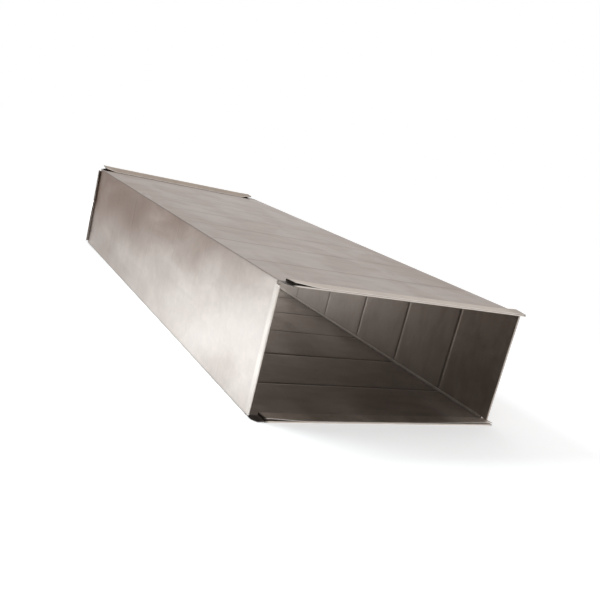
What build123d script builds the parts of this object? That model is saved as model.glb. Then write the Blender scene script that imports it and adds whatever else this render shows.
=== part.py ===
"""A rectangular sheet-metal air duct length with slip joints on its top and bottom edges, in millimetres."""
import math
import os

from build123d import *

# Finished duct, measured outside the sheet and between the fold lines of its two ends
duct_width = 508.0
duct_height = 219.0
duct_length = 1191.0
sheet = 0.7
clearance = 0.3
fold_radius = 0.45

# Corner lock: an upright flange in a pocket that the wall folds inward
flange_height = 5.3
pocket_height = 6.5

# Panel tabs that carry the slips, and the reliefs cut in the wall and in the lock beside them
tab_length = 12.0
tab_taper = 9.0
hem_relief = 5.0
lock_relief = 8.0

# Drive hems, turned back outside both walls: nearly closed at the front and left open at the rear
hem_leg = 12.0
hem_fold = 1.6
front_hem_gap = 4.9
rear_hem_gap = 9.9

# Stiffening beads pressed outward across every wall
bead_width = 11.0
bead_height = 0.9
bead_pitch = 160.0
bead_count = 7
first_bead = 146.0
bead_corner_gap = 5.0
bead_pocket_gap = 1.5

# S-slips: one leaf under the panel, one over it, and a free pocket above; the rear top one is sprung open
slip_depth = 27.0
slip_pocket = 1.6
top_slip_mouth = 3.8
bottom_slip_mouth = 1.8
rear_slip_mouth = 9.5

# How far the slips' ends stand in from the duct's sides; one end stands out a little
front_top_left_inset = 14.0
front_top_right_inset = 0.0
front_bottom_left_inset = 22.0
front_bottom_right_inset = -3.0
rear_left_inset = 11.0
rear_right_inset = 24.0

# Sizes that follow from the ones above
half_width = duct_width / 2
half_height = duct_height / 2
half_length = duct_length / 2
layer = sheet + clearance
underside = layer
mid_height = underside + half_height
wall_line = half_width - sheet / 2
panel_line = half_height - sheet / 2
flange_line = wall_line - 2 * layer
relief_depth = slip_depth - tab_length - sheet
hem_centre = half_length - hem_fold - sheet / 2
hem_reach = math.hypot(hem_leg, hem_fold)
bead_radius = ((bead_width / 2) ** 2 + bead_height ** 2) / (2 * bead_height)
bead_drop = sheet + bead_radius - bead_height
bead_start = first_bead - half_length
bead_places = [bead_start + bead_pitch * number for number in range(bead_count)]
cut_margin = 1.0
lock_face = half_width - sheet - clearance / 2
lock_back = half_width - sheet - 5 * layer


class HalfFrame:
    """Planes for one folded half; the second half is the first turned over about the duct's length."""

    def __init__(self, side):
        middle = (0, 0, mid_height)
        rear = (0, half_length + tab_length, mid_height)
        self.section = Plane(rear, x_dir=(side, 0, 0), z_dir=(0, -1, 0))
        self.plan = Plane(middle, x_dir=(side, 0, 0), z_dir=(0, 0, side))
        self.across = Plane(middle, x_dir=(0, 1, 0), z_dir=(side, 0, 0))


def fold_section(frame):
    """Runs the folded section along the duct: flange, panel, wall, and the pocket at the wall's foot."""
    pocket_line = pocket_height - half_height
    pocket_lip = sheet + clearance - half_height
    with BuildSketch(frame.section) as section:
        with BuildLine():
            FilletPolyline(
                (-flange_line, panel_line - flange_height),
                (-flange_line, panel_line),
                (wall_line, panel_line),
                (wall_line, -panel_line),
                (wall_line - layer, -panel_line),
                (wall_line - layer, pocket_line),
                (wall_line - 3 * layer, pocket_line),
                (wall_line - 3 * layer, pocket_lip),
                radius=fold_radius,
            )
        trace(line_width=sheet)
    extrude(section.sketch, amount=duct_length + 2 * tab_length)


def cut_band(frame, inner, outer, start, low, high):
    """Cuts a band away at both ends, from a distance along the duct to past its end."""
    stop = half_length + tab_length + cut_margin
    across = (inner + outer) / 2
    middle = (start + stop) / 2
    with BuildSketch(frame.plan.offset(low)) as bands:
        with Locations((across, middle), (across, -middle)):
            Rectangle(abs(outer - inner), stop - start)
    extrude(bands.sketch, amount=high - low, mode=Mode.SUBTRACT)


def trim_ends(frame):
    """Cuts the wall back to its fold lines, relieves the corners and tapers the panel tabs."""
    outside = half_width + cut_margin
    below_panel = half_height - sheet
    past_foot = -half_height - cut_margin
    relief_start = half_length - relief_depth
    cut_band(frame, lock_back, outside, hem_centre, past_foot, below_panel)
    cut_band(frame, lock_back, outside, relief_start, half_height - hem_relief, below_panel)
    cut_band(frame, lock_back, outside, relief_start, past_foot, hem_relief - half_height)
    cut_band(frame, lock_back, lock_face, relief_start, past_foot, lock_relief - half_height)
    cut_band(frame, -lock_back, -outside, relief_start, half_height - lock_relief, below_panel)
    tip = half_length + tab_length
    with BuildSketch(frame.plan.offset(below_panel - cut_margin)) as corners:
        for across in (1, -1):
            for along in (1, -1):
                with BuildLine():
                    Polyline(
                        (across * half_width, along * half_length),
                        (across * (half_width - tab_taper), along * tip),
                        (across * (half_width - tab_taper), along * (tip + cut_margin)),
                        (across * (half_width + cut_margin), along * (tip + cut_margin)),
                        (across * (half_width + cut_margin), along * half_length),
                        close=True,
                    )
                make_face()
    extrude(corners.sketch, amount=sheet + 2 * cut_margin, mode=Mode.SUBTRACT)


def hem_point(turn, leg, along):
    """Gives a point of a hem's middle line: round its fold by an angle, then straight on by a distance."""
    across = wall_line + hem_fold * (1 - math.cos(turn)) + leg * math.sin(turn)
    return (across, along * (hem_centre + hem_fold * math.sin(turn) + leg * math.cos(turn)))


def turn_drive_hems(frame):
    """Folds the wall's ends outward and back on themselves, leaving a slot for a drive cleat."""
    with BuildSketch(frame.plan.offset(hem_relief - half_height)) as hems:
        for along, gap in ((1, rear_hem_gap), (-1, front_hem_gap)):
            turn = math.pi + math.atan2(hem_fold, hem_leg) - math.asin((gap - hem_fold) / hem_reach)
            fold_start = hem_point(0, 0, along)
            fold_end = hem_point(turn, 0, along)
            with BuildLine():
                Line((wall_line, along * (hem_centre - hem_fold)), fold_start)
                ThreePointArc(fold_start, hem_point(turn / 2, 0, along), fold_end)
                Line(fold_end, hem_point(turn, hem_leg, along))
            trace(line_width=sheet)
    extrude(hems.sketch, amount=duct_height - 2 * hem_relief)


def draw_bead(places, radius, low, high):
    """Draws round bead sections at the given places, kept between two levels of the sheet."""
    with Locations(*[(place, half_height - bead_drop) for place in places]):
        Circle(radius)
    with Locations((0, half_height + (low + high) / 2)):
        Rectangle(duct_length, high - low, mode=Mode.INTERSECT)


def press_beads(frame):
    """Presses the beads out of the panel and the wall: a ridge outside and an equal groove inside."""
    crest = bead_height + sheet
    panel_run = half_width - bead_corner_gap
    wall_foot = pocket_height + sheet / 2 + bead_pocket_gap - half_height
    wall_run = half_height - bead_corner_gap - wall_foot
    with BuildSketch(frame.across.offset(-panel_run)) as panel_ridges:
        draw_bead(bead_places, bead_radius + sheet, -sheet / 2, crest)
    extrude(panel_ridges.sketch, amount=2 * panel_run)
    with BuildSketch(frame.across.offset(sheet - panel_run)) as panel_grooves:
        draw_bead(bead_places, bead_radius, -2 * sheet, crest)
    extrude(panel_grooves.sketch, amount=2 * (panel_run - sheet), mode=Mode.SUBTRACT)
    wall_plane = Plane(
        frame.plan.origin + frame.plan.x_dir * (half_width - half_height) + frame.plan.z_dir * wall_foot,
        x_dir=frame.plan.y_dir * -1,
        z_dir=frame.plan.z_dir,
    )
    with BuildSketch(wall_plane) as wall_ridges:
        draw_bead([-place for place in bead_places], bead_radius + sheet, -sheet / 2, crest)
    extrude(wall_ridges.sketch, amount=wall_run)
    with BuildSketch(wall_plane.offset(sheet)) as wall_grooves:
        draw_bead([-place for place in bead_places], bead_radius, -2 * sheet, crest)
    extrude(wall_grooves.sketch, amount=wall_run - 2 * sheet, mode=Mode.SUBTRACT)


def fold_slip(end, panel_level, mouth, left_inset, right_inset):
    """Folds one S-slip onto a panel tab; end is -1 at the front and 1 at the rear."""
    first_end = half_width - right_inset if end < 0 else left_inset - half_width
    corner = (first_end, end * half_length, panel_level)
    under = -clearance - sheet / 2
    over = sheet + clearance + sheet / 2
    nose = tab_length + clearance + sheet / 2
    heel = nose + sheet / 2 - slip_depth
    with BuildSketch(Plane(corner, x_dir=(0, end, 0), z_dir=(end, 0, 0))) as profile:
        with BuildLine():
            FilletPolyline(
                (nose + sheet / 2, over + sheet + mouth),
                (heel + sheet / 2, over + sheet + slip_pocket),
                (heel + sheet / 2, over),
                (nose, over),
                (nose, under),
                (heel, under),
                radius=2 * fold_radius,
            )
        trace(line_width=sheet)
    extrude(profile.sketch, amount=duct_width - left_inset - right_inset)


upper_frame = HalfFrame(1)
lower_frame = HalfFrame(-1)
bottom_panel_level = underside
top_panel_level = underside + duct_height - sheet

with BuildPart() as upper_sheet:
    fold_section(upper_frame)
    trim_ends(upper_frame)
    turn_drive_hems(upper_frame)
    press_beads(upper_frame)

with BuildPart() as lower_sheet:
    fold_section(lower_frame)
    trim_ends(lower_frame)
    turn_drive_hems(lower_frame)
    press_beads(lower_frame)

with BuildPart() as front_top_slip:
    fold_slip(-1, top_panel_level, top_slip_mouth, front_top_left_inset, front_top_right_inset)

with BuildPart() as front_bottom_slip:
    fold_slip(-1, bottom_panel_level, bottom_slip_mouth, front_bottom_left_inset, front_bottom_right_inset)

with BuildPart() as rear_top_slip:
    fold_slip(1, top_panel_level, rear_slip_mouth, rear_left_inset, rear_right_inset)

with BuildPart() as rear_bottom_slip:
    fold_slip(1, bottom_panel_level, bottom_slip_mouth, rear_left_inset, rear_right_inset)

upper_sheet.part.label = "upper_sheet"
lower_sheet.part.label = "lower_sheet"
front_top_slip.part.label = "front_top_slip"
front_bottom_slip.part.label = "front_bottom_slip"
rear_top_slip.part.label = "rear_top_slip"
rear_bottom_slip.part.label = "rear_bottom_slip"

os.makedirs("parts", exist_ok=True)
export_step(upper_sheet.part, "parts/upper_sheet.step")
export_step(lower_sheet.part, "parts/lower_sheet.step")
export_step(front_top_slip.part, "parts/front_top_slip.step")
export_step(front_bottom_slip.part, "parts/front_bottom_slip.step")
export_step(rear_top_slip.part, "parts/rear_top_slip.step")
export_step(rear_bottom_slip.part, "parts/rear_bottom_slip.step")
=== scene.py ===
"""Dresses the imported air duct: two folded zinc-coated sheets, four joint strips and a plain studio."""
import logging
import math
from dataclasses import dataclass
from enum import Enum, IntEnum
from functools import cached_property
from typing import Any, ClassVar

import bpy
import numpy as np
from mathutils import Matrix, Vector


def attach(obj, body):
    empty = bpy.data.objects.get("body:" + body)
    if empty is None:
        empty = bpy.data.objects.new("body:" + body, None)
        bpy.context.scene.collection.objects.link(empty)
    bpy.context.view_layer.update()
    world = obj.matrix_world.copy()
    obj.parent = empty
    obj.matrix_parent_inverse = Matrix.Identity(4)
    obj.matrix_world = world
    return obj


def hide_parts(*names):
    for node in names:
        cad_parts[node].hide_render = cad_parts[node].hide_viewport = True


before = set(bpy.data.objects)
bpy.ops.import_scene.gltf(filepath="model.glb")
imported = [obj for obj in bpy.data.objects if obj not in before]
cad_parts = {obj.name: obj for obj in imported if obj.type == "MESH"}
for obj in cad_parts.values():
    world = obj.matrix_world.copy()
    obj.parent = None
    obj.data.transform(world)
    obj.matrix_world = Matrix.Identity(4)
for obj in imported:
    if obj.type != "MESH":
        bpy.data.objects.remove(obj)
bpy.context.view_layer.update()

MM = 0.001
UV_NAME = "sheet_map"
# Real rubbing together with painted highlights.
WEAR_AND_HIGHLIGHT = "wear_and_painted_highlight"
# Real dirt together with painted shade.
SHADE_AND_GRIME = "painted_shade_and_grime"
# A dull film together with painted shade.
FILM_AND_SHADE = "dull_film_and_painted_shade"
HANDLING = "handling_share"
BLOTCH = "blotch_share"
SHARP_DEGREES = 38.0
TINY = 1e-9
WHITE = (1.0, 1.0, 1.0)
Pair = tuple[float, float]
Triple = tuple[float, float, float]
Array = np.ndarray
Socket = bpy.types.NodeSocket
log = logging.getLogger("air_duct")


class Half(Enum):
    """The two folded sheets; the lower one is the upper one turned half a turn about the duct's length."""

    UPPER = "upper_sheet"
    LOWER = "lower_sheet"

    @property
    def turn(self) -> int:
        """Gives 1 for the upper sheet and -1 for the lower one."""
        return 1 if self is Half.UPPER else -1

    @property
    def bead_heights(self) -> Pair:
        """Gives the heights of the panel's and the wall's beads in millimetres, as they show in the photo."""
        return (0.85, 0.65) if self is Half.UPPER else (0.85, 0.35)


class Strip(Enum):
    """The four joint strips, named for the edge that each one sits on."""

    FRONT_TOP = "front_top_slip"
    FRONT_BOTTOM = "front_bottom_slip"
    REAR_TOP = "rear_top_slip"
    REAR_BOTTOM = "rear_bottom_slip"

    @property
    def end(self) -> int:
        """Gives -1 at the front of the duct and 1 at its rear."""
        return -1 if self.value.startswith("front") else 1

    @property
    def on_top(self) -> bool:
        """Tells whether the strip sits on the top panel."""
        return "top" in self.value


class Run(IntEnum):
    """The straight runs across a folded sheet, in order; the bend after a run has its number and a half."""

    FLANGE = 0
    PANEL = 1
    WALL = 2
    FOOT = 3
    POCKET = 4
    ROOF = 5
    LIP = 6


class Slot(Enum):
    """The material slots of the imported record."""

    SHEET = "duct_sheet"
    STRIP = "slip_strip"


def ease(distance: Array, reach: float) -> Array:
    """Rises from 0 to 1 over a reach: three times the square of the share less twice its cube."""
    share = np.clip(distance / reach, 0.0, 1.0)
    return share * share * (3.0 - 2.0 * share)


def merge_stations(*groups: Array) -> Array:
    """Joins groups of stations into one rising row, with doubles closer than a hundredth taken out."""
    return np.unique(np.round(np.concatenate([np.ravel(group) for group in groups]), 2))


def cell_corners(number: Array) -> Array:
    """Gives the numbers of the four corners of each cell of a grid, in winding order."""
    return np.stack([number[:-1, :-1], number[1:, :-1], number[1:, 1:], number[:-1, 1:]], axis=2)


@dataclass(frozen=True)
class DuctSizes:
    """Sizes of the finished duct in millimetres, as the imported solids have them."""

    width: float = 508.0
    height: float = 219.0
    length: float = 1191.0
    sheet: float = 0.7
    clearance: float = 0.3
    flange_height: float = 5.3
    pocket_height: float = 6.5
    tab_length: float = 12.0
    tab_taper: float = 9.0
    hem_relief: float = 5.0
    hem_leg: float = 12.0
    hem_fold: float = 1.6
    front_hem_gap: float = 4.9
    rear_hem_gap: float = 9.9
    bead_width: float = 11.0
    bead_pitch: float = 160.0
    bead_count: int = 7
    first_bead: float = 146.0
    slip_depth: float = 27.0
    slip_pocket: float = 1.6

    @property
    def layer(self) -> float:
        """Gives one sheet and the room beside it."""
        return self.sheet + self.clearance

    @property
    def half_width(self) -> float:
        """Gives half the outside width."""
        return self.width / 2

    @property
    def half_height(self) -> float:
        """Gives half the outside height."""
        return self.height / 2

    @property
    def half_length(self) -> float:
        """Gives half the length between the fold lines."""
        return self.length / 2

    @property
    def wall_line(self) -> float:
        """Gives the distance of a wall's middle surface from the middle line."""
        return self.half_width - self.sheet / 2

    @property
    def panel_line(self) -> float:
        """Gives the distance of a panel's middle surface from the middle line."""
        return self.half_height - self.sheet / 2

    @property
    def hem_centre(self) -> float:
        """Gives the distance along the duct at which a wall starts to turn into its hem."""
        return self.half_length - self.hem_fold - self.sheet / 2

    def hem_turn(self, gap: float) -> float:
        """Gives the angle of a hem's fold that leaves the hem's free edge a given distance from its wall.

        The edge stands off by the fold's radius times one less the angle's cosine, and by the leg times
        the angle's sine.
        """
        reach = math.hypot(self.hem_leg, self.hem_fold)
        return math.pi + math.atan2(self.hem_fold, self.hem_leg) - math.asin((gap - self.hem_fold) / reach)

    @property
    def relief_start(self) -> float:
        """Gives the distance along the duct at which the corner reliefs begin, just behind a strip's heel."""
        return self.half_length - (self.slip_depth - self.tab_length - self.sheet)

    @property
    def tab_tip(self) -> float:
        """Gives the distance along the duct at which a panel's tab ends."""
        return self.half_length + self.tab_length

    @property
    def bead_places(self) -> Array:
        """Gives the beads' places along the duct."""
        return self.first_bead - self.half_length + self.bead_pitch * np.arange(self.bead_count)

    def rear_share(self, along: Array) -> Array:
        """Gives how far along the duct places lie, from 0 at its front to 1 at its rear."""
        return np.clip(along / self.length + 0.5, 0.0, 1.0)


@dataclass(frozen=True)
class FoldTrace:
    """Stations along a folded line: their points, the distance along the line, and the run each lies on."""

    points: Array
    along: Array
    run: Array


@dataclass(frozen=True)
class FoldLine:
    """A sheet's folded line: straight runs joined by round bends."""

    corners: Array
    radii: Array
    bend_steps: int = 5
    least_step: float = 0.05

    def trace(self, stations: list[Array]) -> FoldTrace:
        """Follows the line, with straight stations on each run and even steps round each bend.

        A bend starts short of its corner by its radius times the tangent of half the turn.

        Args:
            stations: For each run, distances from its first corner at which points are wanted.

        Returns:
            The stations in order; a bend's stations carry the number of the run before it and a half.
        """
        legs = np.diff(self.corners, axis=0)
        reach = np.linalg.norm(legs, axis=1)
        ways = legs / reach[:, None]
        cross = ways[:-1, 0] * ways[1:, 1] - ways[:-1, 1] * ways[1:, 0]
        turns = np.arctan2(cross, np.sum(ways[:-1] * ways[1:], axis=1))
        setback = np.concatenate([[0.0], self.radii * np.tan(np.abs(turns) / 2), [0.0]])
        points, runs = [], []
        for number, way in enumerate(ways):
            start, stop = setback[number], reach[number] - setback[number + 1]
            wanted = stations[number]
            inner = wanted[(wanted > start + self.least_step) & (wanted < stop - self.least_step)]
            spots = np.concatenate([[start], inner, [stop]])
            points.append(self.corners[number] + spots[:, None] * way)
            runs.append(np.full(len(spots), float(number)))
            if number < len(turns):
                bend_start = self.corners[number + 1] - way * setback[number + 1]
                points.append(self._bend(bend_start, way, self.radii[number], turns[number]))
                runs.append(np.full(self.bend_steps, number + 0.5))
        line = np.concatenate(points)
        steps = np.linalg.norm(np.diff(line, axis=0), axis=1)
        return FoldTrace(line, np.concatenate([[0.0], np.cumsum(steps)]), np.concatenate(runs))

    def _bend(self, start: Array, way: Array, radius: float, turn: float) -> Array:
        """Turns a bend's first point about the bend's centre in even steps.

        Args:
            start: The bend's first point.
            way: The direction of the run before it.
            radius: The bend's radius.
            turn: The bend's angle.

        Returns:
            The points between the bend's two ends.
        """
        arm = -np.sign(turn) * np.array([-way[1], way[0]]) * radius
        angle = turn * np.linspace(0.0, 1.0, self.bend_steps + 2)[1:-1, None]
        return start - arm + np.cos(angle) * arm + np.sin(angle) * np.array([-arm[1], arm[0]])


@dataclass
class SheetGrid:
    """A sheet's middle surface on a grid, the cells that are left after cutting, and what marks its faces.

    A mark's values lie on the grid, or on the grid of the outer face and then that of the inner one.
    """

    points: Array
    cells: Array
    across: Array
    along: Array
    marks: dict[str, Array]
    thickness: float

    def _normals(self) -> Array:
        """Gives unit normals: the cross product of the grid's two differences at each point."""
        normal = np.cross(np.gradient(self.points, axis=0), np.gradient(self.points, axis=1))
        return normal / np.maximum(np.linalg.norm(normal, axis=2, keepdims=True), TINY)

    def _rim(self, number: Array, back: int) -> Array:
        """Closes the shell along every grid edge that has a cell on one side only.

        Args:
            number: The front point's number at each grid place.
            back: What is added to a front point's number to get the back point behind it.

        Returns:
            Quads from the front surface to the back one, wound against the front cell's own edge.
        """
        padded = np.pad(self.cells, 1)
        before, after = padded[1:-1, :-1], padded[1:-1, 1:]
        first, second = number[:-1, :], number[1:, :]
        rows = [(first, second, before & ~after), (second, first, after & ~before)]
        before, after = padded[:-1, 1:-1], padded[1:, 1:-1]
        first, second = number[:, :-1], number[:, 1:]
        rows += [(first, second, after & ~before), (second, first, before & ~after)]
        quads = [
            np.stack([start[where], stop[where], stop[where] + back, start[where] + back], axis=1)
            for start, stop, where in rows
        ]
        return np.concatenate(quads)

    def mesh(self, name: str) -> bpy.types.Mesh:
        """Makes the closed shell: half the thickness to each side along the normals, with a rim at every cut.

        Args:
            name: The mesh's name.

        Returns:
            The mesh in metres, with its sheet map and surface marks.
        """
        rows, columns = self.points.shape[:2]
        number = np.arange(rows * columns).reshape(rows, columns)
        lift = self._normals() * self.thickness / 2
        shell = np.concatenate([(self.points + lift).reshape(-1, 3), (self.points - lift).reshape(-1, 3)])
        back = rows * columns
        front = cell_corners(number)[self.cells]
        quads = np.concatenate([front, front[:, ::-1] + back, self._rim(number, back)])
        used, compact = np.unique(quads, return_inverse=True)
        compact = compact.reshape(quads.shape)
        mesh = bpy.data.meshes.new(name)
        mesh.from_pydata(shell[used] * MM, [], compact.tolist())
        place = used % back
        for mark, values in self.marks.items():
            layer = mesh.attributes.new(mark, "FLOAT", "POINT")
            faces = np.broadcast_to(values, (2, rows, columns)).ravel()
            layer.data.foreach_set("value", faces[used].astype(np.float32))
        spots = np.stack([self.across[place // columns], self.along[place % columns]], axis=1) * MM
        uv_layer = mesh.uv_layers.new(name=UV_NAME)
        uv_layer.data.foreach_set("uv", spots[compact.ravel()].astype(np.float32).ravel())
        mesh.shade_smooth()
        mesh.set_sharp_from_angle(angle=math.radians(SHARP_DEGREES))
        mesh.validate()
        return mesh


@dataclass(frozen=True)
class NodeBench:
    """Adds nodes to a node tree and wires them."""

    tree: bpy.types.NodeTree

    def add(self, kind: str, feeds: dict[Any, Any] | None = None, **settings: Any) -> bpy.types.Node:
        """Adds one node.

        Args:
            kind: The node's type.
            feeds: Inputs by name or number, each a socket to link or a plain value.
            settings: The node's own properties.

        Returns:
            The new node.
        """
        node = self.tree.nodes.new(kind)
        for key, value in settings.items():
            setattr(node, key, value)
        for key, value in (feeds or {}).items():
            if isinstance(value, bpy.types.NodeSocket):
                self.tree.links.new(value, node.inputs[key])
            else:
                node.inputs[key].default_value = value
        return node

    def math(self, operation: str, first: Any, second: Any) -> Socket:
        """Adds a Math node of two values and gives its result."""
        return self.add("ShaderNodeMath", {0: first, 1: second}, operation=operation).outputs[0]

    def vector(self, operation: str, first: Any, second: Any) -> Socket:
        """Adds a Vector Math node of two vectors and gives its result."""
        return self.add("ShaderNodeVectorMath", {0: first, 1: second}, operation=operation).outputs[0]

    def remap(self, value: Any, low: float, high: float, to_low: float, to_high: float) -> Socket:
        """Adds a smooth Map Range node and gives its result."""
        feeds = {"Value": value, "From Min": low, "From Max": high, "To Min": to_low, "To Max": to_high}
        return self.add("ShaderNodeMapRange", feeds, interpolation_type="SMOOTHSTEP").outputs[0]

    def blend(self, share: Any, first: Any, second: Any, kind: str = "MIX") -> Socket:
        """Adds a colour Mix node and gives its result."""
        feeds = {0: share, 6: first, 7: second}
        return self.add("ShaderNodeMix", feeds, data_type="RGBA", blend_type=kind).outputs[2]

    def seen(self) -> Socket:
        """Tells what the camera sees, directly or in a reflection, apart from light that falls on things.

        Returns:
            1 where it is seen, and 0 for other light.
        """
        path = self.add("ShaderNodeLightPath").outputs
        seen = self.math("MAXIMUM", path["Is Camera Ray"], path["Is Glossy Ray"])
        return self.math("MAXIMUM", seen, path["Is Transmission Ray"])

    def surface(self, feeds: dict[str, Any]) -> None:
        """Adds the Principled shader that a material ends in, and its output."""
        shader = self.add("ShaderNodeBsdfPrincipled", feeds)
        self.add("ShaderNodeOutputMaterial", {"Surface": shader.outputs[0]})


def clear_bench(owner: bpy.types.Material | bpy.types.World) -> NodeBench:
    """Switches on the nodes of a material or of the surroundings and clears them.

    Args:
        owner: The material or the surroundings.

    Returns:
        A bench for its new nodes.
    """
    owner.use_nodes = True
    owner.node_tree.nodes.clear()
    return NodeBench(owner.node_tree)


def start_group(name: str, second: str, kind: str) -> tuple[Any, NodeBench, Any, Socket]:
    """Starts a pattern's node group, which takes a place and one more input and gives one value.

    Args:
        name: The group's name.
        second: The second input's name.
        kind: The second input's socket type.

    Returns:
        The group, a bench for its nodes, its inputs and the socket for its value.
    """
    group = bpy.data.node_groups.new(name, "ShaderNodeTree")
    group.interface.new_socket("Place", in_out="INPUT", socket_type="NodeSocketVector")
    group.interface.new_socket(second, in_out="INPUT", socket_type=kind)
    group.interface.new_socket("Value", in_out="OUTPUT", socket_type="NodeSocketFloat")
    bench = NodeBench(group)
    return group, bench, bench.add("NodeGroupInput").outputs, bench.add("NodeGroupOutput").inputs[0]


@dataclass(frozen=True)
class Crystals:
    """Zinc crystals: a random shade for each cell of a warped cell pattern, with finer cells mixed in."""

    name: str = "zinc_spangle"
    warp_scale: float = 70.0
    warp_detail: float = 2.0
    warp_reach: float = 0.012
    fleck_ratio: float = 2.4
    fleck_share: float = 0.35

    def group(self) -> bpy.types.NodeTree:
        """Builds the node group.

        Returns:
            The group; its second input is the number of cells per metre.
        """
        group, bench, entry, leave = start_group(self.name, "Cells per metre", "NodeSocketFloat")
        place, density = entry[0], entry[1]
        feeds = {"Vector": place, "Scale": self.warp_scale, "Detail": self.warp_detail}
        warp = bench.vector("SUBTRACT", bench.add("ShaderNodeTexNoise", feeds).outputs["Color"], (0.5,) * 3)
        spot = bench.vector("ADD", place, bench.vector("MULTIPLY", warp, (self.warp_reach,) * 3))
        finer = bench.math("MULTIPLY", density, self.fleck_ratio)
        layers = ((density, 0, 1.0 - self.fleck_share), (finer, 1, self.fleck_share))
        shades = []
        for scale, channel, share in layers:
            cells = bench.add("ShaderNodeTexVoronoi", {"Vector": spot, "Scale": scale})
            shade = bench.add("ShaderNodeSeparateColor", {0: cells.outputs["Color"]}).outputs[channel]
            shades.append(bench.math("MULTIPLY", shade, share))
        bench.tree.links.new(bench.math("ADD", *shades), leave)
        return group


@dataclass(frozen=True)
class SoftMarks:
    """Soft marks: drawn-out noise with its middle values spread out."""

    name: str
    roughness: float
    distortion: float
    spread: Pair
    detail: float = 4.0

    def group(self) -> bpy.types.NodeTree:
        """Builds the node group.

        Returns:
            The group; its second input is the number of marks per metre each way.
        """
        group, bench, entry, leave = start_group(self.name, "Marks per metre", "NodeSocketVector")
        noise = bench.add("ShaderNodeTexNoise", {
            "Vector": bench.vector("MULTIPLY", entry[0], entry[1]),
            "Scale": 1.0,
            "Detail": self.detail,
            "Roughness": self.roughness,
            "Distortion": self.distortion,
        })
        bench.tree.links.new(bench.remap(noise.outputs[0], *self.spread, 0.0, 1.0), leave)
        return group


PATTERNS = (
    Crystals(),
    SoftMarks(name="handling_marks", roughness=0.6, distortion=0.4, spread=(0.3, 0.7)),
    SoftMarks(name="dull_clouds", roughness=0.55, distortion=0.6, spread=(0.33, 0.68)),
)


@dataclass(frozen=True)
class ZincFinish:
    """A zinc-coated steel finish: its colours, how strongly each effect shows, and its gloss and relief."""

    name: str
    clean: Triple
    # Also laid where painted shade darkens the sheet.
    filmed_and_shaded: Triple
    # Also laid where painted highlights lighten the sheet.
    worn_and_highlit: Triple
    contrast: float
    cells_per_metre: float
    spangle_share: float
    cloud_share: float
    gloss_low: float
    gloss_high: float = 0.48
    metallic: float = 1.0
    # Near-black laid for dirt and for painted shade.
    soiled_and_shaded: Triple = (0.03, 0.026, 0.022)
    handling_share: float = 0.5
    patchiness: float = 0.3
    marks_per_metre: Triple = (12.0, 34.0, 1.0)
    patches_per_metre: Triple = (11.0, 11.0, 11.0)
    cloud_stretch: Triple = (1.0, 0.45, 1.0)
    cloud_shift: Triple = (0.0, 0.93, 0.4)
    least_rub: float = 0.75
    full_rub_mark: float = 0.8
    crystal_gloss: float = 0.06
    crystal_relief: float = 0.35
    bump_strength: float = 0.12
    bump_depth: float = 0.0012

    def _colour(self, bench: NodeBench, patterns: list[Socket]) -> Socket:
        """Mixes the colour: clean zinc under its film and painted shade, shaded by the patterns, then
        lightened by rubbing and painted highlights, and darkened by dirt and painted shade.

        Args:
            bench: The bench of the material's nodes.
            patterns: The crystals, the handling marks and the clouds.

        Returns:
            The finished colour.
        """
        crystal, mark, cloud = patterns
        film, handled, blotch, wear_and_highlight, shade_and_grime = [
            bench.add("ShaderNodeAttribute", attribute_name=name).outputs["Fac"]
            for name in (FILM_AND_SHADE, HANDLING, BLOTCH, WEAR_AND_HIGHLIGHT, SHADE_AND_GRIME)
        ]
        patch = bench.math("MULTIPLY", bench.math("SUBTRACT", cloud, 0.5), blotch)
        shares = (
            (bench.math("SUBTRACT", crystal, 0.5), self.spangle_share),
            (bench.math("MULTIPLY", bench.math("SUBTRACT", mark, 0.5), handled), self.handling_share),
            (patch, self.cloud_share),
        )
        tone: Any = 1.0
        for value, share in shares:
            tone = bench.math("ADD", bench.math("MULTIPLY", value, share * self.contrast), tone)
        patchy = bench.math("SUBTRACT", film, bench.math("MULTIPLY", patch, self.patchiness))
        # The film mark, which also carries painted shade, darkens the colour towards the filmed colour.
        colour = bench.blend(patchy, (*self.clean, 1.0), (*self.filmed_and_shaded, 1.0))
        colour = bench.blend(1.0, colour, tone, "MULTIPLY")
        # Rubbing and painted highlights lighten the colour towards the rubbed colour.
        rub_and_highlight = bench.math("MULTIPLY", wear_and_highlight, bench.remap(mark, 0.0, self.full_rub_mark, self.least_rub, 1.0))
        colour = bench.blend(rub_and_highlight, colour, (*self.worn_and_highlit, 1.0))
        # Dirt and painted shade darken the colour towards near-black.
        return bench.blend(shade_and_grime, colour, (*self.soiled_and_shaded, 1.0))

    def material(self, groups: list[bpy.types.NodeTree]) -> bpy.types.Material:
        """Builds the finish: crystals and handling marks on the sheet map, clouds drawn out along the duct.

        Args:
            groups: The patterns' node groups, which both finishes share.

        Returns:
            The material.
        """
        made = bpy.data.materials.new(self.name)
        bench = clear_bench(made)
        sheet_map = bench.add("ShaderNodeUVMap", uv_map=UV_NAME).outputs[0]
        place = bench.add("ShaderNodeTexCoord").outputs["Object"]
        drawn = bench.vector("ADD", bench.vector("MULTIPLY", place, self.cloud_stretch), self.cloud_shift)
        sizes = (self.cells_per_metre, self.marks_per_metre, self.patches_per_metre)
        patterns = [
            bench.add("ShaderNodeGroup", {0: source, 1: size}, node_tree=group).outputs[0]
            for group, source, size in zip(groups, (sheet_map, sheet_map, drawn), sizes)
        ]
        crystal, _, cloud = patterns
        gloss = bench.remap(cloud, 0.0, 1.0, self.gloss_low, self.gloss_high)
        height = bench.math("ADD", bench.math("MULTIPLY", crystal, self.crystal_relief), cloud)
        relief = {"Height": height, "Strength": self.bump_strength, "Distance": self.bump_depth}
        bench.surface({
            "Base Color": self._colour(bench, patterns),
            "Metallic": self.metallic,
            "Roughness": bench.math("ADD", gloss, bench.math("MULTIPLY", crystal, self.crystal_gloss)),
            "Normal": bench.add("ShaderNodeBump", relief).outputs[0],
        })
        return made


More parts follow.
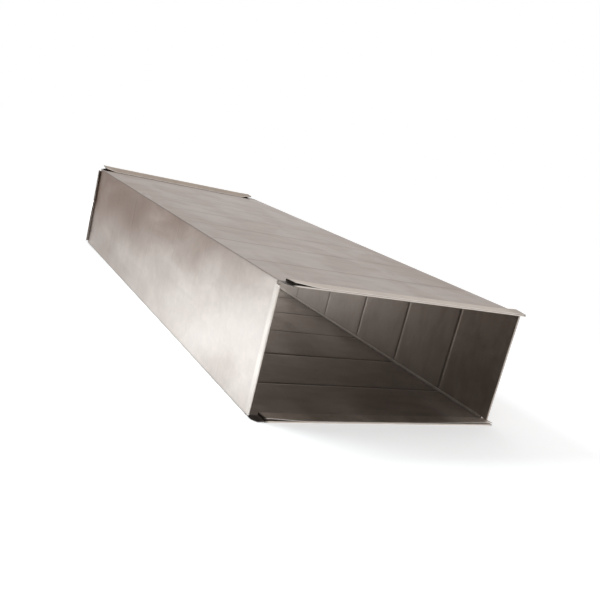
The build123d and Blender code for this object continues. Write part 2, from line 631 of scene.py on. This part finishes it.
FINISHES = {
    Slot.SHEET: ZincFinish(
        name="zinc_sheet",
        clean=(0.475, 0.425, 0.396),
        filmed_and_shaded=(0.2, 0.134, 0.098),
        worn_and_highlit=(0.7, 0.66, 0.61),
        contrast=0.3,
        cells_per_metre=80.0,
        spangle_share=0.4,
        cloud_share=0.35,
        gloss_low=0.36,
    ),
    Slot.STRIP: ZincFinish(
        name="zinc_strip",
        clean=(0.56, 0.49, 0.43),
        filmed_and_shaded=(0.34, 0.275, 0.225),
        worn_and_highlit=(0.72, 0.67, 0.62),
        contrast=0.4,
        cells_per_metre=110.0,
        spangle_share=0.3,
        cloud_share=0.3,
        gloss_low=0.38,
    ),
}


@dataclass
class Piece:
    """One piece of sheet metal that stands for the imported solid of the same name."""

    name: Half | Strip
    sizes: DuctSizes
    slot: ClassVar[Slot]

    def grid(self) -> SheetGrid:
        """Gives the piece's middle surface; each kind of piece has its own."""
        raise NotImplementedError

    def build(self, material: bpy.types.Material) -> bpy.types.Object:
        """Makes the piece's object, hides the solid that it stands for, and dresses it.

        Args:
            material: The piece's finish.

        Returns:
            The object.
        """
        node = self.name.value
        mesh = self.grid().mesh(node)
        mesh.materials.append(material)
        piece = bpy.data.objects.new(f"{node}_dressed", mesh)
        bpy.context.collection.objects.link(piece)
        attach(piece, "root")
        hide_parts(node)
        return piece


@dataclass(frozen=True)
class GridSteps:
    """How many stations each stretch of a folded sheet gets."""

    panel: int = 45
    wall: int = 25
    bead_end: int = 8
    lock: int = 4
    length: int = 85
    bead: int = 13
    hem_fold: int = 11
    hem_leg: int = 6
    relief: int = 4


@dataclass(frozen=True)
class Slack:
    """Slow waves of slack in a sheet: lengths in millimetres, angles in radians and shares from 0 to 1."""

    height: float = 0.7
    edge_reach: float = 70.0
    bay_share: float = 0.6
    bay_turn: float = 2.1
    bay_start: float = 0.7
    sway_share: float = 0.4
    sway_lengths: Pair = (83.0, 37.0)
    sway_start: float = 1.3
    second_sway: float = 0.5
    along_length: float = 61.0


@dataclass(frozen=True)
class SheetMarks:
    """How far a sheet is rubbed, dirtied and dulled, and how strongly painted shade and painted highlights
    show, from 0 to 1, and the marks' widths in millimetres.
    """

    fold_rub: float = 0.5
    # Painted shade along the underside of the lower sheet's outer fold.
    fold_shade: float = 0.6
    fold_width: float = 2.3
    # Painted highlight on the pocket's lip inside.
    lip_highlight: float = 0.5
    hem_rub: float = 0.55
    leg_loss: float = 0.4
    leg_start: float = 2.5
    # Painted shade at the tabs' corners, where the strips' ends leave dark gaps.
    corner_shade: float = 0.85
    corner_reach: float = 6.0
    corner_width: float = 12.0
    corner_fade: float = 14.0
    flange_soil: float = 0.9
    flange_width: float = 2.2
    # Dirt on the pocket's outer fold, and painted shade at the lip's foot inside.
    pocket_soil_and_shade: float = 0.8
    lip_foot: float = 3.0
    seam_front: float = 0.3
    seam_gain: float = 0.4
    # Inside, each bead's rear flank gets dust with painted shade, and each panel bead's front flank a rub
    # with painted highlight.
    bead_side: float = 0.5
    bead_line: float = 0.4
    # An even painted highlight over the whole inner face.
    inner_painted_sheen: float = 0.36
    groove_rub_and_highlight: float = 0.5
    groove_dust_and_shade: float = 0.35
    handling: float = 0.3
    panel_blotch: float = 0.3
    right_blotch: float = 0.6
    inner_blotch: float = 0.2
    hidden_film: float = 0.5
    inner_film: float = 0.2
    # Painted shade on the inner right wall and the inner floor: its most, at the front, and the share of the
    # length over which it eases out.
    inner_wall_shade: Pair = (0.85, 0.55)
    inner_floor_shade: Pair = (0.65, 0.35)
    top_film: tuple[float, ...] = (0.455, -0.01, -0.02, -0.14, 0.08)
    # Painted shade on the left wall, darker towards the rear and the top.
    wall_far_shade: float = 0.4
    wall_curve: float = 0.35
    wall_high_shade: float = 0.62
    high_start: float = 0.3
    high_reach: float = 0.7
    blotch_film: float = 0.045
    blotch_waves: tuple[Pair, Pair] = ((71.0, 29.0), (33.0, -21.0))


@dataclass
class FoldedSheet(Piece):
    """One folded half of the duct: flange, panel, wall with its hems, and the pocket at the wall's foot."""

    slot = Slot.SHEET
    steps: GridSteps = GridSteps()
    slack: Slack = Slack()
    look: SheetMarks = SheetMarks()
    bend_radius: float = 1.6
    flange_radius: float = 1.2
    lock_radius: float = 0.45
    bead_fade: float = 9.0
    bead_gap: float = 3.0
    bead_loss: float = 0.6
    past_fade: float = 4.0
    floor_room: float = 0.05
    hem_waver: float = 0.35
    hem_wave: float = 23.0
    hem_wave_start: float = 2.0
    front_pinch: float = 2.6
    rear_pinch: Pair = (2.6, 3.8)
    pinch_from: float = 0.2
    pinch_reach: float = 0.7

    def _fold_line(self) -> FoldLine:
        """Draws the section's middle line, from the flange's edge to the pocket's inner lip.

        Returns:
            The line with its bends' radii.
        """
        sizes, lock = self.sizes, self.lock_radius
        wall, panel, layer = sizes.wall_line, sizes.panel_line, sizes.layer
        flange, pocket = wall - 2 * layer, sizes.pocket_height - sizes.half_height
        corners = np.array([
            (-flange, panel - sizes.flange_height),
            (-flange, panel),
            (wall, panel),
            (wall, -panel),
            (wall - layer, -panel),
            (wall - layer, pocket),
            (wall - 3 * layer, pocket),
            (wall - 3 * layer, layer - sizes.half_height),
        ])
        return FoldLine(corners, np.array([self.flange_radius, self.bend_radius, lock, lock, lock, lock]))

    @cached_property
    def trace(self) -> FoldTrace:
        """Gives the stations across the sheet, closer together where beads run out and corners are cut."""
        sizes, steps = self.sizes, self.steps
        panel, wall = 2 * (sizes.wall_line - sizes.layer), 2 * sizes.panel_line
        near = np.linspace(0.0, self.bead_gap + self.bead_fade + self.past_fade, steps.bead_end)
        relief = sizes.hem_relief - sizes.sheet / 2
        panel_row, wall_row = np.linspace(0.0, panel, steps.panel), np.linspace(0.0, wall, steps.wall)
        panel_spots = merge_stations(panel_row, near, panel - near, [sizes.tab_taper])
        foot = wall - sizes.pocket_height
        wall_spots = merge_stations(wall_row, near, foot - near, [relief, wall - relief])
        short = np.linspace(0.0, sizes.pocket_height, steps.lock)
        return self._fold_line().trace([short, panel_spots, wall_spots, short, short, short, short])

    @cached_property
    def along(self) -> Array:
        """Gives the stations along the developed sheet, closer together over the beads and round the hems."""
        sizes, steps = self.sizes, self.steps
        beads = sizes.bead_places[:, None] + np.linspace(-0.5, 0.5, steps.bead) * sizes.bead_width
        ends = []
        for side, gap in ((1, sizes.rear_hem_gap), (-1, sizes.front_hem_gap)):
            fold = np.linspace(0.0, sizes.hem_turn(gap) * sizes.hem_fold, steps.hem_fold)
            leg = fold[-1] + np.linspace(0.0, sizes.hem_leg, steps.hem_leg)
            before = np.linspace(sizes.relief_start - sizes.hem_centre, 0.0, steps.relief)
            ends.append(side * (sizes.hem_centre + merge_stations(before, fold, leg)))
        middle = np.linspace(-sizes.relief_start, sizes.relief_start, steps.length)
        return merge_stations(middle, beads, *ends, [sizes.tab_tip, -sizes.tab_tip])

    def _press(self) -> Array:
        """Gives how far the sheet is pressed inward: waves of slack, less beads of a raised cosine section.

        The beads stand out of the duct, ease out at its corners and grow lower towards its rear. Nothing is
        pressed out so far that the bottom would meet the floor.

        Returns:
            Depths in millimetres on the grid.
        """
        sizes, slack, trace, along = self.sizes, self.slack, self.trace, self.along
        on_panel, on_wall = trace.run == Run.PANEL, trace.run == Run.WALL
        spot_x, spot_q = trace.points[:, 0], trace.points[:, 1]
        panel_room = sizes.half_width - self.bead_gap - np.abs(spot_x)
        foot = sizes.pocket_height + sizes.sheet - sizes.half_height
        wall_room = np.minimum(sizes.half_height - self.bead_gap - spot_q, spot_q - foot)
        room = np.where(on_panel, panel_room, np.where(on_wall, wall_room, 0.0))
        share = (along[:, None] - sizes.bead_places) / (sizes.bead_width / 2)
        bead = np.where(np.abs(share) < 1.0, np.cos(share * math.pi / 2) ** 2, 0.0).sum(axis=1)
        bay = (along - sizes.first_bead + sizes.half_length) / sizes.bead_pitch
        bulge = np.sin(math.pi * bay) ** 2 * np.sin(slack.bay_turn * bay + slack.bay_start)
        first, second = slack.sway_lengths
        sway = np.sin(trace.along / first + slack.sway_start)
        sway = sway + slack.second_sway * np.sin(trace.along / second)
        swaying = slack.sway_share * sway[:, None] * np.sin(along / slack.along_length)
        held = slack.height * ease(room, slack.edge_reach)
        drift = held[:, None] * (slack.bay_share * bulge + swaying)
        panel_bead, wall_bead = self.name.bead_heights
        crest = np.where(on_panel, panel_bead, wall_bead) * ease(room, self.bead_fade)
        fading = 1.0 - self.bead_loss * sizes.rear_share(along)
        return np.maximum(drift - crest[:, None] * bead * fading, self.floor_room - sizes.layer)

    def _hems(self) -> tuple[Array, Array]:
        """Turns the wall's ends: past a hem's start, round its radius by its angle and straight on.

        The left wall's hems are pinched towards it: the front one evenly, the rear one more the higher it is.

        Returns:
            How far the wall lies outward on the grid, and its places along the duct.
        """
        sizes, trace, along = self.sizes, self.trace, self.along
        past = np.maximum(np.abs(along) - sizes.hem_centre, 0.0)
        turn = np.where(along > 0.0, sizes.hem_turn(sizes.rear_hem_gap), sizes.hem_turn(sizes.front_hem_gap))
        angle = np.minimum(past / sizes.hem_fold, turn)
        straight = np.maximum(past - turn * sizes.hem_fold, 0.0)
        out = sizes.hem_fold * (1.0 - np.cos(angle)) + straight * np.sin(turn)
        reach = np.minimum(np.abs(along), sizes.hem_centre)
        reach = reach + sizes.hem_fold * np.sin(angle) + straight * np.cos(turn)
        wave = np.sin(trace.along / self.hem_wave + self.hem_wave_start * self.name.turn)
        lean = self.hem_waver * (0.5 + 0.5 * wave)
        low, high = self.rear_pinch
        rise = ease(self.pinch_from - trace.points[:, 1:] / sizes.height, self.pinch_reach)
        pinch = np.where(along > 0.0, low + (high - low) * rise, self.front_pinch) * (self.name is Half.LOWER)
        return out - (lean[:, None] + pinch) * straight / sizes.hem_leg, np.sign(along) * reach

    def _tabs(self) -> Array:
        """Draws the panel's ends out to their tabs' edges, which fall back in a straight taper at each side.

        Returns:
            Places along the duct on the grid.
        """
        sizes, along = self.sizes, self.along
        taper = np.clip((sizes.half_width - np.abs(self.trace.points[:, 0])) / sizes.tab_taper, 0.0, 1.0)
        edge = sizes.half_length + sizes.tab_length * taper
        start, far = sizes.relief_start, np.abs(along)
        drawn = np.clip((far - start) / (sizes.tab_tip - start), 0.0, 1.0)
        return np.sign(along) * (np.minimum(far, start) + drawn * (edge[:, None] - start))

    def grid(self) -> SheetGrid:
        """Lays the developed sheet out on its folds, presses it, turns its hems and cuts its corners.

        Returns:
            The sheet's middle surface in the duct's own frame.
        """
        sizes, trace, along, over = self.sizes, self.trace, self.along, self.name.turn
        step = np.gradient(trace.points, axis=0)
        inward = np.stack([step[:, 1], -step[:, 0]], axis=1) / np.linalg.norm(step, axis=1, keepdims=True)
        plane = trace.points[:, None, :] + self._press()[:, :, None] * inward[:, None, :]
        across_x, across_q = plane[:, :, 0].copy(), plane[:, :, 1]
        length = np.broadcast_to(along, across_x.shape).copy()
        on_panel, on_wall = trace.run == Run.PANEL, trace.run == Run.WALL
        out, hem_length = self._hems()
        across_x[on_wall] += out[on_wall]
        length[on_wall] = hem_length
        length[on_panel] = self._tabs()[on_panel]
        middle = sizes.layer + sizes.half_height
        points = np.stack([over * across_x, length, middle + over * across_q], axis=2)
        return SheetGrid(points, self._cells(), trace.along, along, self._marks(points), sizes.sheet)

    def _cells(self) -> Array:
        """Tells which cells of the developed sheet are left after the corner reliefs and the tabs are cut.

        Returns:
            True where the sheet stays.
        """
        sizes, trace, along = self.sizes, self.trace, self.along
        run = (trace.run[:-1] + trace.run[1:]) / 2
        level = (trace.points[:-1, 1] + trace.points[1:, 1]) / 2
        far = np.abs(along[:-1] + along[1:]) / 2
        hem = (run == Run.WALL) & (np.abs(level) < sizes.half_height - sizes.hem_relief)
        reach = np.where(run == Run.PANEL, sizes.tab_tip, np.where(hem, np.inf, sizes.relief_start))
        return far[None, :] < reach[:, None]

    def _marks(self, points: Array) -> dict[str, Array]:
        """Marks where the sheet is rubbed bright, lit by painted highlights, dirtied, darkened by painted
        shade, dulled by a film, handled and blotched.

        Args:
            points: The sheet's middle surface.

        Returns:
            Each mark from 0 to 1, for the outer face and then for the inner one.
        """
        sizes, look, upper = self.sizes, self.look, self.name is Half.UPPER
        run, spot, along = self.trace.run, self.trace.points, self.along
        on_panel, on_wall = run == Run.PANEL, run == Run.WALL
        # The upper sheet's outer fold is rubbed bright; the lower sheet's gets a line of painted shade along
        # the underside of its bend.
        gap = np.hypot(spot[:, 0] - sizes.half_width, spot[:, 1] - sizes.half_height)
        bend = np.exp(-((gap / look.fold_width) ** 2))
        rubbed, fold_shade_line = (look.fold_rub * bend, 0.0 * bend) if upper else (0.0 * bend, look.fold_shade * bend)
        # Painted highlight: the pocket's roof is lit to full and its lip partly, as a bright line along the
        # seam inside.
        roof = np.abs(run - Run.ROOF) < 1.0
        lip = np.where(roof, 1.0, np.where(run == Run.LIP, look.lip_highlight, 0.0))
        past = np.where(on_wall[:, None], np.abs(along) - sizes.hem_centre, 0.0)
        turned = ease(past, sizes.hem_fold)
        legged = ease(past - look.leg_start * sizes.hem_fold, sizes.hem_fold)
        hem = np.where(along < 0.0, (look.hem_rub - look.leg_loss * legged) * turned, 0.0)
        wear_and_highlight = np.maximum(np.maximum(rubbed, lip)[:, None], hem)
        # Painted shade: the panels' tabs go nearly black near the duct's corners.
        side = sizes.half_width - np.abs(points[:, :, 0]) - look.corner_width
        end = np.abs(points[:, :, 1]) - sizes.relief_start
        corner = look.corner_shade * ease(end, look.corner_reach) * (1.0 - ease(side, look.corner_fade))
        # The lip's foot inside gets painted shade at the seam's foot; the pocket's outer fold gets dirt.
        under = (run == Run.LIP) & (spot[:, 1] < look.lip_foot - sizes.half_height)
        folded = (run > Run.WALL) & (run < Run.POCKET) | under
        seam = np.where(run < Run.PANEL, look.flange_soil, np.where(folded, look.pocket_soil_and_shade, 0.0))
        inset = spot[:, 0] + spot[on_panel, 0].max()
        edge = np.where(on_panel, look.flange_soil * (1.0 - ease(inset, look.flange_width)), 0.0)
        growing = look.seam_front + look.seam_gain * sizes.rear_share(along)
        lines = np.maximum(np.maximum(seam, edge)[:, None] * growing, fold_shade_line[:, None])
        shade_and_grime = np.maximum(np.where(on_panel[:, None], corner, 0.0), lines)
        # The film is left off the rear hems, and off the pocket's roof and lip as part of their painted
        # highlight.
        bare = np.maximum(np.where(along > 0.0, turned, 0.0), (run > Run.POCKET)[:, None])
        # Inside, dust with painted shade lies on each bead's rear flank, and a rub with painted highlight on
        # each panel bead's front flank.
        share = 2.0 * (along[:, None] - sizes.bead_places) / sizes.bead_width
        rear_line, front_line = (
            np.exp(-(((share - place) / look.bead_line) ** 2)).sum(axis=1)
            for place in (look.bead_side, -look.bead_side)
        )
        rear_flank_shade = look.groove_dust_and_shade * rear_line * (on_panel | on_wall)[:, None]
        # Painted highlight: the whole inner face is lightened evenly, with more on the panel beads' front
        # flanks.
        inner_sheen = look.inner_painted_sheen + look.groove_rub_and_highlight * front_line * on_panel[:, None]
        wall_blotch = look.right_blotch if upper else 1.0
        plain = np.ones(run.size)
        handling = [np.where(on_panel, 1.0, look.handling), look.handling * plain]
        blotches = [np.where(on_panel, look.panel_blotch, wall_blotch), look.inner_blotch * plain]
        return {
            WEAR_AND_HIGHLIGHT: np.stack([wear_and_highlight, np.maximum(wear_and_highlight, inner_sheen)]),
            SHADE_AND_GRIME: np.stack([shade_and_grime, np.maximum(shade_and_grime, rear_flank_shade)]),
            FILM_AND_SHADE: self._film_and_shade() * (1.0 - bare),
            HANDLING: np.stack(handling)[:, :, None],
            BLOTCH: np.stack(blotches)[:, :, None],
        }

    def _film_and_shade(self) -> Array:
        """Gives how far a dull film and painted shade cover the sheet's outer face and its inner one.

        On the top it is a sum of low powers of the place across and along. On the left wall it is painted
        shade, darker
        towards the rear and the top: it grows with the length and with the height, and slow sine waves make
        it patchy. Inside, it changes only along the duct; on the inner right wall and the inner floor it is
        painted shade, darkest at the front and easing out towards the rear.

        Returns:
            The film and painted shade from 0 to 1 on the outer face's grid and then on the inner face's.
        """
        sizes, look, trace, along = self.sizes, self.look, self.trace, self.along
        rear = sizes.rear_share(along)
        if self.name is Half.UPPER:
            side, way = trace.points[:, :1] / sizes.half_width, 2.0 * rear - 1.0
            powers = (1.0, side, way, side * way, side ** 2)
            top = sum(factor * power for factor, power in zip(look.top_film, powers))
            # Painted shade on the inner right wall: darkest at the front, easing out towards the rear.
            most, reach = look.inner_wall_shade
            outer, inner = (top, look.hidden_film), (look.inner_film, most * (1.0 - ease(rear, reach)))
        else:
            level = trace.points[:, 1:]
            height = np.clip(0.5 - level / sizes.height, 0.0, 1.0)
            blotch = sum(np.sin(along / far + level / high) for far, high in look.blotch_waves)
            # Painted shade on the left wall: darker towards the rear and the top.
            grown = look.wall_far_shade * rear * (1.0 + look.wall_curve - look.wall_curve * rear)
            grown = grown + look.wall_high_shade * ease(height * (0.5 + rear) - look.high_start, look.high_reach)
            left = np.clip(grown + look.blotch_film * blotch, 0.0, 1.0)
            # Painted shade on the inner floor: darkest at the front, easing out towards the rear.
            most, reach = look.inner_floor_shade
            outer, inner = (look.hidden_film, left), (most * (1.0 - ease(rear, reach)), look.inner_film)
        on_wall = (trace.run >= Run.WALL)[:, None]
        shape = (trace.run.size, along.size)
        faces = [np.broadcast_to(np.where(on_wall, wall, panel), shape) for panel, wall in (outer, inner)]
        return np.stack(faces)


@dataclass(frozen=True)
class StripShape:
    """How one strip lies: its ends' insets from the duct's sides, its leaves' gaps, and its film.

    Gaps in millimetres and film from 0 to 1 are given at the left end, between, and at the right end, with
    the distance over which each end's value eases out.
    """

    left_inset: float
    right_inset: float
    mouth: Triple
    pocket: Triple
    film: Triple
    reach: Pair
    lift: Triple = (0.0, 0.0, 0.0)

    def along(self, gaps: Triple, run: Array) -> Array:
        """Gives a gap or the film along the strip: the middle value, eased to the value at each end.

        Args:
            gaps: The value at the left end, between, and at the right end.
            run: Distances from the strip's left end.

        Returns:
            The value at each distance.
        """
        left = 1.0 - ease(run, self.reach[0])
        right = 1.0 - ease(run[-1] - run, self.reach[1])
        return gaps[1] + (gaps[0] - gaps[1]) * left + (gaps[2] - gaps[1]) * right


STRIP_SHAPES = {
    Strip.FRONT_TOP: StripShape(
        left_inset=14.0,
        right_inset=0.0,
        mouth=(3.7, 0.2, 0.5),
        pocket=(2.4, 0.7, 3.0),
        film=(0.35, 0.35, 0.8),
        reach=(50.0, 60.0),
    ),
    Strip.FRONT_BOTTOM: StripShape(
        left_inset=22.0,
        right_inset=-3.0,
        mouth=(4.2, 0.3, 2.8),
        pocket=(2.0, 0.9, 1.4),
        film=(0.3, 0.25, 0.1),
        reach=(80.0, 200.0),
    ),
    Strip.REAR_TOP: StripShape(
        left_inset=11.0,
        right_inset=24.0,
        mouth=(9.4, 8.9, 9.4),
        pocket=(1.5, 0.05, 1.5),
        lift=(3.8, -0.25, 5.4),
        film=(1.0, 0.9, 1.0),
        reach=(38.0, 40.0),
    ),
    Strip.REAR_BOTTOM: StripShape(
        left_inset=11.0,
        right_inset=24.0,
        mouth=(1.7, 0.4, 1.7),
        pocket=(1.5, 1.1, 1.5),
        film=(0.35, 0.35, 0.35),
        reach=(40.0, 30.0),
    ),
}


@dataclass
class JointStrip(Piece):
    """One S-shaped strip on a panel's tab: a leaf under the panel, one over it, and a free pocket above."""

    slot = Slot.STRIP
    upper_run: int = 0
    heel_run: int = 1
    fold_radius: float = 0.9
    fold_steps: int = 6
    leaf_steps: int = 13
    length_steps: int = 131
    past_leaf: float = 2.0
    tip_room: float = 0.05
    # Painted highlights, with rubbing, on the upper leaf's free edge, on the heel and along the nose.
    edge_rub_and_highlight: float = 0.9
    edge_share: float = 0.08
    edge_rise: float = 0.5
    nose_rub_and_highlight: float = 0.8
    nose_width: float = 2.0
    # Painted shade at the strip's ends, where its pockets open dark.
    end_shade: float = 0.85
    shaded_end: float = 2.0
    end_shade_fade: float = 4.0
    right_ratio: float = 1.4
    upper_ratio: float = 0.35
    handling: float = 0.5
    blotch: float = 0.6

    def grid(self) -> SheetGrid:
        """Carries the S-shaped profile along the panel's edge and opens its leaves by the strip's own gaps.

        Above the panel, a height over the middle leaf is scaled by the gap there over the plain pocket's gap.
        A lifted end tilts the middle leaf about the strip's nose, and takes the upper leaf with it.

        Returns:
            The strip's middle surface in the duct's own frame.
        """
        sizes, half = self.sizes, self.sizes.sheet / 2
        shape = STRIP_SHAPES[self.name]
        under, over = -sizes.clearance - half, sizes.layer + half
        nose = sizes.tab_length + sizes.clearance + half
        heel = nose + half - sizes.slip_depth
        fold, tip = heel + half, nose + half - self.tip_room
        plain = sizes.sheet + sizes.slip_pocket
        upper_leaf = [(tip, over + plain), (fold, over + plain)]
        corners = np.array([*upper_leaf, (fold, over), (nose, over), (nose, under), (heel, under)])
        line = FoldLine(corners, np.full(len(corners) - 2, self.fold_radius), self.fold_steps)
        spots = np.linspace(0.0, sizes.slip_depth + self.past_leaf, self.leaf_steps)
        trace = line.trace([spots] * (len(corners) - 1))
        run = np.linspace(0.0, sizes.width - shape.left_inset - shape.right_inset, self.length_steps)
        out, height = trace.points[:, :1], trace.points[:, 1:]
        lever = np.clip((out - fold) / (tip - fold), 0.0, 1.0)
        gap = (1.0 - lever) * shape.along(shape.pocket, run) + lever * shape.along(shape.mouth, run)
        upper = np.maximum(height - over, 0.0) * ((gap + sizes.sheet) / plain - 1.0)
        lifted = np.where(height > 0.0, (1.0 - lever) * shape.along(shape.lift, run), 0.0)
        level = sizes.layer + (sizes.height - sizes.sheet if self.name.on_top else 0.0)
        rise = level + height + upper + lifted
        across = np.broadcast_to(shape.left_inset - sizes.half_width + run, rise.shape)
        depth = np.broadcast_to(self.name.end * (sizes.half_length + out), rise.shape)
        points = np.stack([across, depth, rise], axis=2)
        # Painted highlights, with rubbing: the upper leaf's free edge, the heel and the nose are lightened as
        # if catching the light.
        edge = self.edge_rub_and_highlight * np.exp(-(((lever - 1.0) / self.edge_share) ** 2))
        on_heel = np.abs(trace.run - self.heel_run)[:, None] < 1.0
        nose_stripe = self.nose_rub_and_highlight * np.exp(-(((out - nose) / self.nose_width) ** 2))
        folds = np.maximum(self.edge_rub_and_highlight * on_heel, nose_stripe)
        # Painted shade: the strip's ends go nearly black, over a shorter length on the upper leaf.
        near_end = np.minimum(run, self.right_ratio * (run[-1] - run))
        shrink = np.where(trace.run == self.upper_run, self.upper_ratio, 1.0)[:, None]
        marks = {
            WEAR_AND_HIGHLIGHT: np.maximum(edge * (height > over + self.edge_rise), folds),
            SHADE_AND_GRIME: self.end_shade * (1.0 - ease(near_end / shrink - self.shaded_end, self.end_shade_fade)),
            FILM_AND_SHADE: shape.along(shape.film, run),
            HANDLING: self.handling,
            BLOTCH: self.blotch,
        }
        marks = {mark: np.broadcast_to(values, rise.shape) for mark, values in marks.items()}
        if self.name.end > 0:
            points = points[:, ::-1]
            marks = {mark: values[:, ::-1] for mark, values in marks.items()}
        cells = np.ones((len(out) - 1, len(run) - 1), bool)
        return SheetGrid(points, cells, trace.along, run, marks, sizes.sheet)


@dataclass
class Lamp:
    """One soft rectangular lamp that is never seen itself."""

    name: str
    place: Triple
    aim: Triple
    size: Pair
    power: float
    colour: Triple
    mirrored: bool

    def build(self) -> None:
        """Makes the lamp and turns it towards its aim; one that isn't mirrored doesn't show in bare metal."""
        light = bpy.data.lights.new(self.name, "AREA")
        light.shape = "RECTANGLE"
        light.size, light.size_y = self.size
        light.energy = self.power
        light.color = self.colour
        lamp = bpy.data.objects.new(self.name, light)
        lamp.location = self.place
        lamp.rotation_euler = (Vector(self.aim) - Vector(self.place)).to_track_quat("-Z", "Y").to_euler()
        lamp.visible_camera = False
        lamp.visible_glossy = self.mirrored
        bpy.context.collection.objects.link(lamp)


LAMPS = (
    Lamp(
        name="left_floor_lamp",
        place=(-0.6, -0.25, 0.6),
        aim=(-0.5, -0.25, 0.0),
        size=(0.25, 1.1),
        power=11.0,
        colour=(0.86, 0.96, 1.0),
        mirrored=False,
    ),
    Lamp(
        name="rear_lamp",
        place=(0.0, 1.5, 0.12),
        aim=(0.0, 0.4, 0.04),
        size=(0.46, 0.18),
        power=2.2,
        colour=WHITE,
        mirrored=True,
    ),
)


@dataclass
class Studio:
    """A plain pale floor, white surroundings, soft lamps, and the camera at the photograph's place."""

    floor_half: float = 9.0
    floor_points: int = 9
    floor_colour: Triple = (0.93, 0.93, 0.93)
    floor_roughness: float = 0.9
    floor_specular: float = 0.1
    floor_glow: float = 0.3
    ambient: float = 0.75
    camera_place: Triple = (-0.7494, -1.4676, 0.4130)
    camera_right: Triple = (0.85372, -0.46367, 0.23699)
    camera_down: Triple = (0.10176, -0.29779, -0.94919)
    camera_forward: Triple = (0.51069, 0.83447, -0.20704)
    focal_pixels: float = 694.4
    image_pixels: float = 600.0
    sensor_width: float = 36.0
    sight: float = 60.0

    def _floor(self) -> None:
        """Makes the floor: a level grid at the height on which the duct stands."""
        line = np.linspace(-self.floor_half, self.floor_half, self.floor_points)
        across, along = np.meshgrid(line, line, indexing="ij")
        points = np.stack([across, along, np.zeros_like(across)], axis=2).reshape(-1, 3)
        number = np.arange(line.size ** 2).reshape(line.size, line.size)
        mesh = bpy.data.meshes.new("studio_floor")
        mesh.from_pydata(points, [], cell_corners(number).reshape(-1, 4).tolist())
        floor = bpy.data.objects.new("studio_floor", mesh)
        bpy.context.collection.objects.link(floor)
        made = bpy.data.materials.new("pale_floor")
        bench = clear_bench(made)
        bench.surface({
            "Base Color": (*self.floor_colour, 1.0),
            "Roughness": self.floor_roughness,
            "Specular IOR Level": self.floor_specular,
            "Emission Color": (*WHITE, 1.0),
            "Emission Strength": bench.math("MULTIPLY", bench.seen(), self.floor_glow),
        })
        mesh.materials.append(made)

    def _world(self) -> None:
        """Makes the surroundings: white where they are seen or mirrored, and plain light elsewhere."""
        world = bpy.data.worlds.new("studio_surroundings")
        bpy.context.scene.world = world
        bench = clear_bench(world)
        feeds = {"Value": bench.seen(), "To Min": self.ambient, "To Max": 1.0}
        strength = bench.add("ShaderNodeMapRange", feeds).outputs[0]
        back = bench.add("ShaderNodeBackground", {"Color": (*WHITE, 1.0), "Strength": strength})
        bench.add("ShaderNodeOutputWorld", {"Surface": back.outputs[0]})

    def _camera(self) -> None:
        """Makes the camera: its lens is the focal length in pixels, scaled from the image to the sensor."""
        data = bpy.data.cameras.new("photo_camera")
        data.sensor_width = self.sensor_width
        data.lens = self.focal_pixels * self.sensor_width / self.image_pixels
        data.clip_end = self.sight
        camera = bpy.data.objects.new("photo_camera", data)
        up, back = np.negative(self.camera_down), np.negative(self.camera_forward)
        axes = np.column_stack([self.camera_right, up, back])
        camera.matrix_world = Matrix.Translation(self.camera_place) @ Matrix(axes.tolist()).to_4x4()
        bpy.context.collection.objects.link(camera)
        bpy.context.scene.camera = camera

    def build(self) -> None:
        """Builds the floor, the surroundings, the lamps and the camera."""
        self._floor()
        self._world()
        self._camera()
        for lamp in LAMPS:
            lamp.build()
        bpy.context.scene.view_settings.view_transform = "Standard"


def main() -> None:
    """Builds the studio and every piece of the duct in order, and reports each piece."""
    logging.basicConfig(level=logging.INFO, format="%(name)s: %(message)s")
    sizes = DuctSizes()
    Studio().build()
    groups = [pattern.group() for pattern in PATTERNS]
    finishes = {slot: finish.material(groups) for slot, finish in FINISHES.items()}
    pieces = [FoldedSheet(half, sizes) for half in Half] + [JointStrip(strip, sizes) for strip in Strip]
    for piece in pieces:
        made = piece.build(finishes[piece.slot])
        log.info("%s: %d faces", made.name, len(made.data.polygons))


if __name__ == "__main__":
    main()
